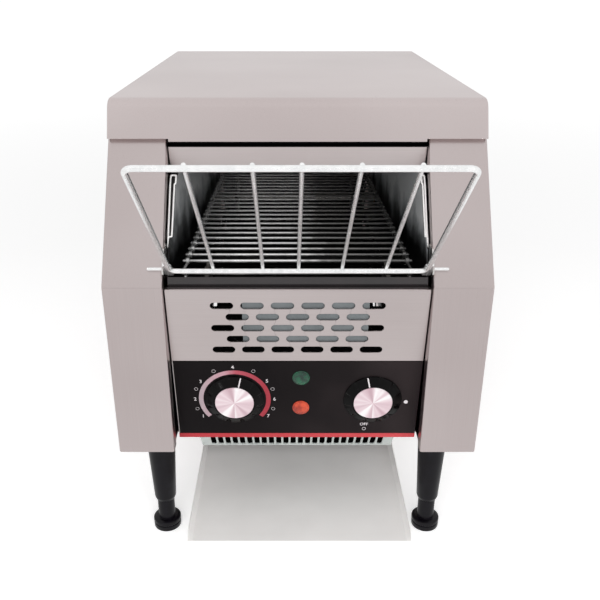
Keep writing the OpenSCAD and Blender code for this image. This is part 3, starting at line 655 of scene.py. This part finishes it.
def chin():
    """The outer face of the slotted chin, which slopes down and back from the panel's lower
    edge and runs on as the floor of the control box. Round each slot lies one ring of faces
    from its outline, two half circles a straight apart, to the edges of its own cell."""
    top, low, floor_back, floor_top = chin_line
    length, half = np.linalg.norm(low - top), slot_pitch / 2
    step = np.linspace(0, 1, cell_steps + 1)
    corners = np.array([[half, length], [half, 0], [-half, 0], [-half, length], [half, length]])
    edges = [start + (end - start) * step[:-1, None] for start, end in zip(corners, corners[1:])]
    cell = np.concatenate([*edges, corners[-1:]])
    angle = np.radians(np.linspace(-45, 315, 4 * cell_steps + 1))
    straight = (slot_half - slot_r) * np.sign(np.round(np.sin(angle), 6))
    slot = np.stack([slot_r * np.cos(angle), slot_mid - slot_r * np.sin(angle) - straight], 1)

    def laid(x, s):
        """Points at x and at s down the slope."""
        y, z = (start + s / length * (end - start) for start, end in zip(top, low))
        return placed(x, y, z)

    x_mids = (np.arange(chin_slots) - (chin_slots - 1) / 2) * slot_pitch
    grids = [laid(*np.moveaxis(np.stack([cell, slot]) + (x, 0), -1, 0)) for x in x_mids]
    end = chin_slots * slot_pitch / 2
    grids += [laid([[side * end], [side * chin_half]], length * step) for side in (-1, 1)]
    x = np.concatenate([[-chin_half], np.linspace(-end, end, cell_steps * chin_slots + 1), [chin_half]])
    grids.append(np.stack([placed(x, *corner) for corner in (low, floor_back, floor_top)]))
    return shell("chin", *grids)


chin_steel = plain_finish("greenish_sheet_steel", "#C4CAC7", "#B8BEBC", 40, 0.4, 0.3)
# Behind the front face, the floor of the control box is painted black as shade, so the slots show dark.
inside_y = nose_y / MM + chin_line[1, 0] + 0.8
darkened(chin_steel, "Y", inside_y, inside_y + 1, "#0B0A0A")
fitted(eased(thick(chin(), chin_t), 0), chin_steel, "casing", "grille_steel", "chin_grille")


def ink(name, centre_x, reach, *stops):
    """Screen ink, a hair thick and satin, whose colour runs across the print from left to
    right, with a faint unevenness."""
    film, tree, at = blank(name)
    ends = ((centre_x - reach) * MM, (centre_x + reach) * MM)
    across = stretched(tree, coordinate(tree, at, "X"), ends)
    surface(tree, {"Roughness": 0.45, "Specular IOR Level": 0.3},
            {"Base Color": ramp(tree, summed(tree, noise(tree, at, 400.0), 0.06, across), *stops)})
    return film


def ring(radius_in, radius_out, first=0, last=360, steps=25):
    """A flat printed band round a circle: angles run clockwise from the top, and the four
    columns go round its thin section, inner foot, inner top, outer top, outer foot."""
    angle = np.radians(np.linspace(first, last, steps))[:, None]
    radius = np.array([radius_in, radius_in, radius_out, radius_out, radius_in])
    return placed(radius * np.sin(angle), radius * np.cos(angle), np.array([0, ink_t, ink_t, 0, 0]))


def clockwise(radius, degrees):
    """Where a print lies round a knob: how far right and how far up of its middle."""
    angle = math.radians(degrees)
    return radius * math.sin(angle), radius * math.cos(angle)


white_ink = ink("white_ink", 0, 100, (0.0, "#BCB6B8"), (1.0, "#CBC5C7"))


def printed(name, text, height, x, up, centre_x):
    """Plain sans-serif figures with capital height in millimetres, centred on x and up from
    the knob's centre, laid on the panel as a film of ink, a little bolder than the font."""
    per_capital, bolder = 1.38, 0.03   # the font's size over its capital height; its growth in mm
    curve = bpy.data.curves.new(name, "FONT")
    curve.body, curve.size = text, height * per_capital
    curve.align_x, curve.align_y = "CENTER", "CENTER"
    curve.extrude, curve.resolution_u, curve.offset = ink_t / 2, 3, bolder
    drawn = linked(name, curve)
    mesh = bpy.data.meshes.new_from_object(drawn.evaluated_get(bpy.context.evaluated_depsgraph_get()))
    bpy.data.objects.remove(drawn)
    flat = np.zeros(len(mesh.vertices) * 3, np.float32)
    mesh.vertices.foreach_get("co", flat)
    flat = flat.reshape(-1, 3) + (x, up, ink_t / 2)
    laid = on_panel(flat, centre_x, knob_s) * MM + (0, nose_y, 0)
    mesh.vertices.foreach_set("co", laid.astype(np.float32).ravel())
    fitted(linked(name, mesh), white_ink, "casing", "panel_black")


ring_ink = ink("pink_to_red_ink", speed_x, 29, (0.05, "#998A8F"), (0.4, "#A8808A"), (0.56, "#9B4551"),
               (0.95, "#8E2A35"))
dial_ring = on_panel(ring(25.4, 29.1, -130, 130, 121), speed_x, knob_s)
fitted(shell("dial_ring", dial_ring), ring_ink, "casing", "panel_black")

mark_angles, mark_r = (-107.8, -71.2, -29, 29, 71.2, 107.8), 32.4
circles = [ring(1.3, 1.52) + (*clockwise(mark_r, angle), 0) for angle in mark_angles]
dial_marks = shell("dial_marks", *[on_panel(circle, speed_x, knob_s) for circle in circles])
fitted(dial_marks, white_ink, "casing", "panel_black")

number_angles, number_r = (-124, -90, -56, -1, 55, 90, 123.5), 32.1
for number, angle in enumerate(number_angles, 1):
    printed(f"dial_number_{number}", str(number), 3.4, *clockwise(number_r, angle), speed_x)
printed("selector_off_mark", "OFF", 2.9, -5.5, -26.6, selector_x)
off_ring, stand_by_dot = ring(1.25, 1.6) + (-5.3, -31.4, 0), ring(0.01, 1.7) + (27.3, -2.8, 0)
switch_marks = shell("selector_marks", on_panel(off_ring, selector_x, knob_s),
                     on_panel(stand_by_dot, selector_x, knob_s))
fitted(switch_marks, white_ink, "casing", "panel_black")

red_w, red_end = 4.4, vent_len + 0.6 + control_len
red_up = np.array([-red_w, -red_w, red_w, red_w, -red_w]) / 2
red_ends = np.array([[-panel_x], [panel_x]])
red_line = placed(red_ends, red_up, np.array([0, ink_t, ink_t, 0, 0]))
red_ink = ink("red_ink", 0, 100, (0.0, "#9E2931"), (1.0, "#B63F44"))
fitted(shell("red_line", on_panel(red_line, 0, red_end - red_w / 2)), red_ink, "casing", "panel_black")

# ---------------------------------------------------------------- knobs
# Each knob is moulded in glossy black phenolic, a thin skirt under a low cone, with a spun
# aluminium cap pressed on its top and a white pointer line printed from cap to edge.

skirt_r, skirt_low, skirt_high, cone_low, edge_w = 23.5, 0.6, 1.6, 2.0, 1.4
cap_r, knob_h = 15.6, 4.6
cap_rim, cap_face = knob_h + 0.8, knob_h + 0.75
grips, grip_r, grip_lean, grip_stretch = 12, 3, 0.685, 1.212


def turned(profile, steps=97):
    """A profile of (radius, height) points carried once round the upright axis."""
    profile = np.asarray(profile, float)
    angle = np.linspace(0, 2 * math.pi, steps)
    radius, height = profile[:, :1], profile[:, 1:]
    return placed(radius * np.sin(angle), radius * np.cos(angle), height)


knob_black = plain_finish("glossy_black_phenolic", "#030303", "#070506", 8, 0.15, 0, 1.55, 0.1)


def spun_cap(name, x):
    """Spun aluminium: fine rings 1.1 mm apart round the cap's centre, and broad bright and dull
    sectors in a faint pinkish white, painted highlights where the rings would catch the light.
    A wave's rings lie 0.314 / scale apart."""
    metal, tree, at = blank(name)
    centre = on_panel([0, 0, 0], x, knob_s) * MM + (0, nose_y, 0)
    middle = {"vector_type": "TEXTURE", "Location": centre, "Rotation": (math.pi / 2 + tilt, 0, 0)}
    centred = add(tree, "ShaderNodeMapping", middle, {"Vector": at}).outputs[0]
    angle = add(tree, "ShaderNodeMath", {"operation": "ARCTAN2"},
                {0: coordinate(tree, centred, "X"), 1: coordinate(tree, centred, "Y")})
    painted_highlight_sectors = add(tree, "ShaderNodeTexNoise", {"noise_dimensions": "1D", "Scale": 1.4, "Detail": 1.0},
                  {"W": angle.outputs[0]})
    rings = add(tree, "ShaderNodeTexWave",
                {"wave_type": "RINGS", "rings_direction": "Z", "Scale": 1 / (3.6 * MM), "Distortion": 0.3},
                {"Vector": centred})
    tone = ramp(tree, painted_highlight_sectors.outputs["Fac"], (0.3, "#CDAEB7"), (0.5, "#E9D3D9"), (0.66, "#FFFAFB"))
    surface(tree, {"Metallic": 0.75, "Roughness": 0.3},
            {"Base Color": tone, "Normal": bump(tree, rings.outputs["Fac"], 0.15, 0.02)})
    return metal


def gripped(points):
    """Presses grips into a turned knob. A grip is the underside of a round bar laid along the
    slope: its height at radius r and distance t aside of its middle is
    low + lean (reach - r) - stretch sqrt(grip radius^2 - t^2), where the stretch is that of a
    leaning bar's section. The knob is cut down to it, no lower than the skirt's foot."""
    low, reach = 2.3, 25.8
    height = points[..., 2]
    angle = np.arctan2(points[..., 0], points[..., 1])
    radius = np.hypot(points[..., 0], points[..., 1])
    share = 2 * math.pi / grips
    aside = radius * np.sin(angle % share - share / 2)
    dip = grip_stretch * np.sqrt(np.clip(grip_r ** 2 - aside ** 2, 0, None))
    bar = low + grip_lean * (reach - radius) - dip
    pressed = (np.abs(aside) < grip_r) & (radius > cap_r + 1)
    cut = np.where(pressed, np.minimum(height, np.maximum(bar, skirt_low)), height)
    return placed(points[..., 0], points[..., 1], cut)


def pointer_line(degrees):
    """The printed line, drawn flat on the knob and turned clockwise from up. Rows run from the
    skirt's edge to the cap; columns go round its section, mostly sunk in the knob."""
    slope = np.array([[skirt_r - 0.4, skirt_high], [skirt_r - 1.7, cone_low],
                      [cap_r + 1.3, knob_h - 0.05], [cap_r + 0.3, knob_h]])
    half, above, sunk = 0.5, 0.1, -0.2
    across = np.array([-half, half, half, -half, -half])
    lift = np.array([above, above, sunk, sunk, above])
    turn = math.radians(degrees)
    spin = np.array([[math.cos(turn), -math.sin(turn), 0], [math.sin(turn), math.cos(turn), 0], [0, 0, 1]])
    return placed(across, slope[:, :1], slope[:, 1:] + lift) @ spin


def knob(name, x, pointer):
    """The skirt and cone with their grips, the cap on top, and the pointer line."""
    cone = np.linspace([skirt_r - edge_w, cone_low], [cap_r + edge_w, knob_h - 0.06], 12)
    rim = rounded([[skirt_r, skirt_low], [skirt_r, skirt_high], cone[0]], 0.4, 4)
    crown = rounded([cone[-1], [cap_r + 1.1, knob_h], [cap_r - 1, knob_h]], 0.3, 3)
    body = np.concatenate([[[0, skirt_low]], rim, cone[1:-1], crown, [[0, knob_h]]])
    cone_mesh = shell(name + "_cone", on_panel(gripped(turned(body, 289)), x, knob_s))
    fitted(cone_mesh, knob_black, name, "knob_black", name)
    top = rounded([[0, knob_h], [cap_r, knob_h], [cap_r, cap_rim], [cap_r - 0.9, cap_face], [0, cap_face]],
                  [0.1, 0.3, 0.3], 3)
    disc = shell(name + "_disc", on_panel(turned(top), x, knob_s))
    fitted(disc, spun_cap(name + "_spun_aluminium", x), name, "cap_metal", name + "_cap")
    line = shell(name + "_pointer", on_panel(pointer_line(pointer), x, knob_s))
    fitted(line, white_ink, name, "knob_black")


knob("speed_knob", speed_x, 13.7)
knob("selector_knob", selector_x, -12.6)

# ---------------------------------------------------------------- indicator lenses
# The two lenses are moulded in clear coloured polycarbonate, green above orange, and snap
# into the panel with a thin flange.

lens_r, lip_w, flange_t, dome_h = 6.9, 0.8, 0.8, 1.5


def lens(colour, node, s, light, dark):
    """A flange, and a dome that is half of a flattened ellipse, with facets 2.6 mm wide
    moulded inside it that break up the light."""
    dome_r = lens_r - lip_w
    climb = np.radians(np.linspace(0, 90, 16))
    dome = np.stack([dome_r * np.cos(climb), flange_t + dome_h * np.sin(climb)], 1)
    flange = rounded([[0, 0], [lens_r, 0], [lens_r, flange_t], [dome_r, flange_t]], [0.05, 0.35], 4)
    profile = np.concatenate([flange, dome[1:]])
    made = shell(colour + "_lamp_dome", on_panel(turned(profile), lamp_x, s))
    plastic, tree, at = blank(colour + "_lamp_polycarbonate")
    tone = ramp(tree, noise(tree, at, 160.0, 1.0), (0.35, dark), (0.65, light))
    facets = add(tree, "ShaderNodeTexVoronoi", {"Scale": 1 / (2.6 * MM)}, {"Vector": at})
    surface(tree, {"Roughness": 0.08, "IOR": 1.58},
            {"Base Color": tone, "Normal": bump(tree, facets.outputs["Distance"], 0.45, 0.5)})
    fitted(made, plastic, "casing", colour + "_lens", node)


lens("green", "power_lens", 81.0, "#094C33", "#04241B")
lens("orange", "heat_lens", 111.5, "#B84022", "#8A2410")

dressed(plain_finish("black_switch_plastic", "#232123", "#1A181A", 5, 0.5, 0), 0,
        "lamp_bodies", "speed_regulator", "selector_switch", "cord_gland")
dressed(plain_finish("white_terminal_plastic", "#E9E4DA", "#DDD7CB", 5, 0.4, 0), 0.2, "terminal_block")

# ---------------------------------------------------------------- toast tray
# The tray is one thin bright stainless sheet: low upstands that lean out at the sides,
# slanted at their front ends, and a front edge folded down. It slides on the hung rails.

tray_low, tray_high = (np.array(corner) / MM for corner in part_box("toast_tray"))
tray_t, tray_fold, tray_lean, tray_slant = 1.0, 1.5, 3.6, 8
fold_r, back_r = 0.4, 0.5              # how far the folds are cut off, in front and behind


def tray():
    """One face of the tray's sheet. Rows run from the foot of the front fold to the top of the
    back upstand; columns are the left upstand's edge, its foot, the floor, the right one's foot
    and edge. The edges lie flat at the front, rise along the slanted ends and then stay level."""
    front, back = tray_low[1] - nose_y / MM, tray_high[1] - nose_y / MM
    fold_z, floor_z, top_z = tray_low[2], tray_low[2] + tray_fold, tray_high[2]
    y = np.array([front + tray_t, front + tray_t, front + (tray_t + fold_r), front + tray_slant,
                  back - back_r, back, back])
    z = np.array([fold_z, floor_z - fold_r, floor_z, floor_z, floor_z, floor_z + back_r, top_z])
    edge_z = np.array([fold_z, floor_z - fold_r, floor_z, *[top_z - 0.5] * 4])
    across = np.array([0, tray_lean, tray_lean + fold_r])
    x = np.concatenate([tray_low[0] + across, tray_high[0] - across[::-1]])
    return shell("tray", placed(x, y[:, None], np.stack([edge_z, z, z, z, z, edge_z], 1)))


tray_steel = plain_finish("pale_tray_steel", "#F6F4F2", "#EEECEA", 60, 0.42, 0.05)
fitted(eased(thick(tray(), -tray_t), 0.2), tray_steel, "toast_tray", "bright_steel", "toast_tray")

# ---------------------------------------------------------------- feed rack
# The rack is bent and resistance-welded from chromed steel wire, a closed frame and five rods
# along it, with two pressed lugs whose pins swing in the eyes on the throat.

hinge_y, hinge_z = 6.5, 270.7
rack_len, rack_rise = 160.0, math.radians(41.7)
rack_x, rail_r, rail_off, rack_low = 93.2, 1.9, 3.0, 4.0
rod_xs, rod_r, rod_off = (-61.5, -25.5, 0.5, 32.0, 64.0), 1.35, rail_off - 2.2
lug_x, lug_half, lug_low, lug_high, lug_levels = 91, 3.4, -7, 13, (0.8, 2.4)
pin_r, pin_start, pin_end = 1.35, 92, 110.5


def on_rack(flat):
    """Points drawn flat on the rack (across, up the rack, towards its underside) laid at the
    hinge: the rack leans forward, rising from the hinge by its angle."""
    along = np.array([0, -math.cos(rack_rise), math.sin(rack_rise)])
    under = np.array([0, -math.sin(rack_rise), -math.cos(rack_rise)])
    hinge = np.array([0, hinge_y, hinge_z])
    return hinge + flat[..., :1] * (1, 0, 0) + flat[..., 1:2] * along + flat[..., 2:] * under


def wire(path, radius, around=14):
    """Round wire along a flat path on the rack: at each point a circle across the path,
    spanned by the path's side direction and the rack's normal; open ends are cut square."""
    path = np.asarray(path, float)
    closed = np.allclose(path[0], path[-1])
    step = np.gradient(path, axis=0)
    if closed:
        step[0] = step[-1] = path[1] - path[-2]
    side = unit(placed(step[:, 1], -step[:, 0], 0))
    reach = np.full(len(path), radius)
    if not closed:
        path, side = (np.pad(points, ((1, 1), (0, 0)), "edge") for points in (path, side))
        reach = np.pad(reach, 1)
    angle = np.linspace(0, 2 * math.pi, around + 1)[None, :, None]
    across = np.cos(angle) * side[:, None] + np.sin(angle) * np.array([0, 0, 1])
    return path[:, None] + reach[:, None, None] * across


def rack_wires():
    """The closed frame with rounded corners, and five rods welded on top of its cross wires."""
    loop = rounded([[0, rack_low], [rack_x, rack_low], [rack_x, rack_len], [-rack_x, rack_len],
                    [-rack_x, rack_low], [0, rack_low]], [6, 5.5, 5.5, 6], 8)
    rail = wire(placed(loop[:, 0], loop[:, 1], rail_off), rail_r)
    return [rail] + [wire([[x, rack_low, rod_off], [x, rack_len, rod_off]], rod_r) for x in rod_xs]


def chrome():
    """Bright nickel-chrome plate on drawn wire: near white and glossy, with a faint haze that
    changes every few millimetres."""
    plate, tree, at = blank("bright_chrome_plate")
    haze = noise(tree, at, 1 / (4 * MM))
    surface(tree, {"Metallic": 0.9},
            {"Base Color": ramp(tree, haze, (0.3, "#F2F3F3"), (0.7, "#FFFFFF")),
             "Roughness": stretched(tree, haze, (0, 1), (0.2, 0.3))})
    return plate


def lug(side):
    """A pressed lug, a flat bar with rounded corners, and the pin that goes through the eye,
    with a bevelled end. Rows run from the middle of one face to the middle of the other."""
    outline = rounded([[0, lug_low], [lug_half, lug_low], [lug_half, lug_high], [-lug_half, lug_high],
                       [-lug_half, lug_low], [0, lug_low]], 2.6, 5)
    middle = np.array([0, (lug_low + lug_high) / 2])
    flat = middle + (outline - middle) * np.array([0, 1, 1, 0])[:, None, None]
    bar = placed(flat[..., 0] + side * (lug_x + lug_half), flat[..., 1], np.repeat(lug_levels, 2)[:, None])
    angle = np.linspace(0, 2 * math.pi, 17)
    reach = np.array([0, pin_r, pin_r, 0.9, 0])[:, None]
    x = np.array([pin_start, pin_start, pin_end - 0.5, pin_end, pin_end])[:, None] * side
    return [bar, placed(x, reach * np.cos(angle), reach * np.sin(angle))]


rack = shell("rack", *[on_rack(grid) for grid in rack_wires() + lug(-1) + lug(1)])
fitted(rack, chrome(), "feed_rack", "rack_wire", "feed_rack")

# ---------------------------------------------------------------- legs and feet
# Legs and feet are moulded in black nylon; each foot screws up into its leg to level the
# machine. Nuts above the base plate hold the legs.

leg_x, leg_ys, leg_r = 119.5, (48.0, body_d - 40.0), 13.3
nylon = plain_finish("black_moulded_nylon", "#0C0A10", "#070509", 6, 0.3, 0, 1.53, 0.2)
leg_line = rounded([[0, 31], [8.6, 31], [9.6, 34], [leg_r, base_z], [0, base_z]], [0.6, 1.0, 0.4], 4)
foot_line = rounded([[0, 0], [12.3, 0], [12.3, 4.6], [11.1, 5.2], [12.5, 6.2], [12.4, 9.6], [9.5, 10.3],
                     [7.6, 10.3], [7.6, 58], [0, 58]], [0.8, 0.6, 0.3, 0.8, 1.2, 0.6, 0.2, 0.3], 4)

for part, y in zip(("front", "rear"), leg_ys):
    for hand, side in (("left", -1), ("right", 1)):
        node = f"{part}_{hand}"
        leg, foot = (turned(line, 49) + (side * leg_x, y, 0) for line in (leg_line, foot_line))
        fitted(shell(node + "_moulded_leg", leg), nylon, "casing", "leg_plastic", node + "_leg")
        fitted(shell(node + "_moulded_foot", foot), nylon, node + "_foot", "leg_plastic", node + "_foot")

# ---------------------------------------------------------------- fasteners
# Screws hold the lid and the side covers, and nuts hold the legs under the base plate. All
# are zinc-plated steel, bright and a little uneven.

dressed(plain_finish("plated_screw_steel", "#CFCBC6", "#B4B0AB", 1.5, 0.3, 1), 0,
        "cover_screws", "leg_nuts")
